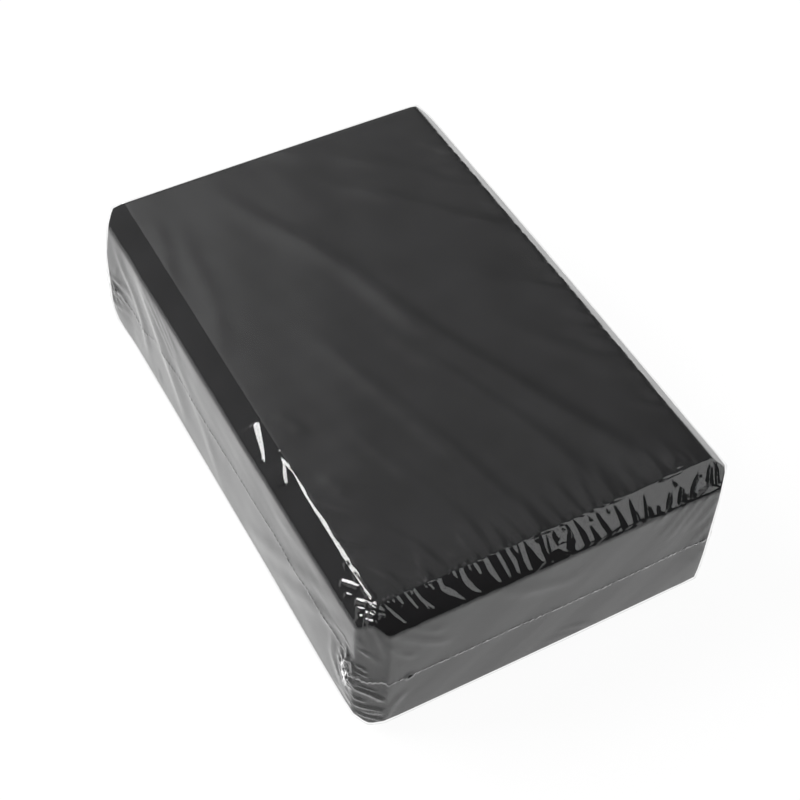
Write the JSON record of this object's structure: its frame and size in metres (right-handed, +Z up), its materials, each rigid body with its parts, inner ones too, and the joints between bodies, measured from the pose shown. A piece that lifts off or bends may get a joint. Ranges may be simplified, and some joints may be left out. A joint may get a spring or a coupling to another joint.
{
  "type": "foam exercise block",
  "caption": "Rectangular block of closed-cell foam with chamfered edges, sealed in a clear shrink film.",
  "frame": {"origin": "centre of the underside of the wrapped block", "axes": "+X along the length, +Y across the width, +Z up"},
  "size_m": [0.2294, 0.1484, 0.0716],
  "materials": {
    "foam": "matt black closed-cell foam with a fine skin",
    "film": "clear glossy shrink film with drawn wrinkles"
  },
  "bodies": {
    "root": {"foam_block": "foam", "shrink_film": "film"}
  },
  "joints": []
}
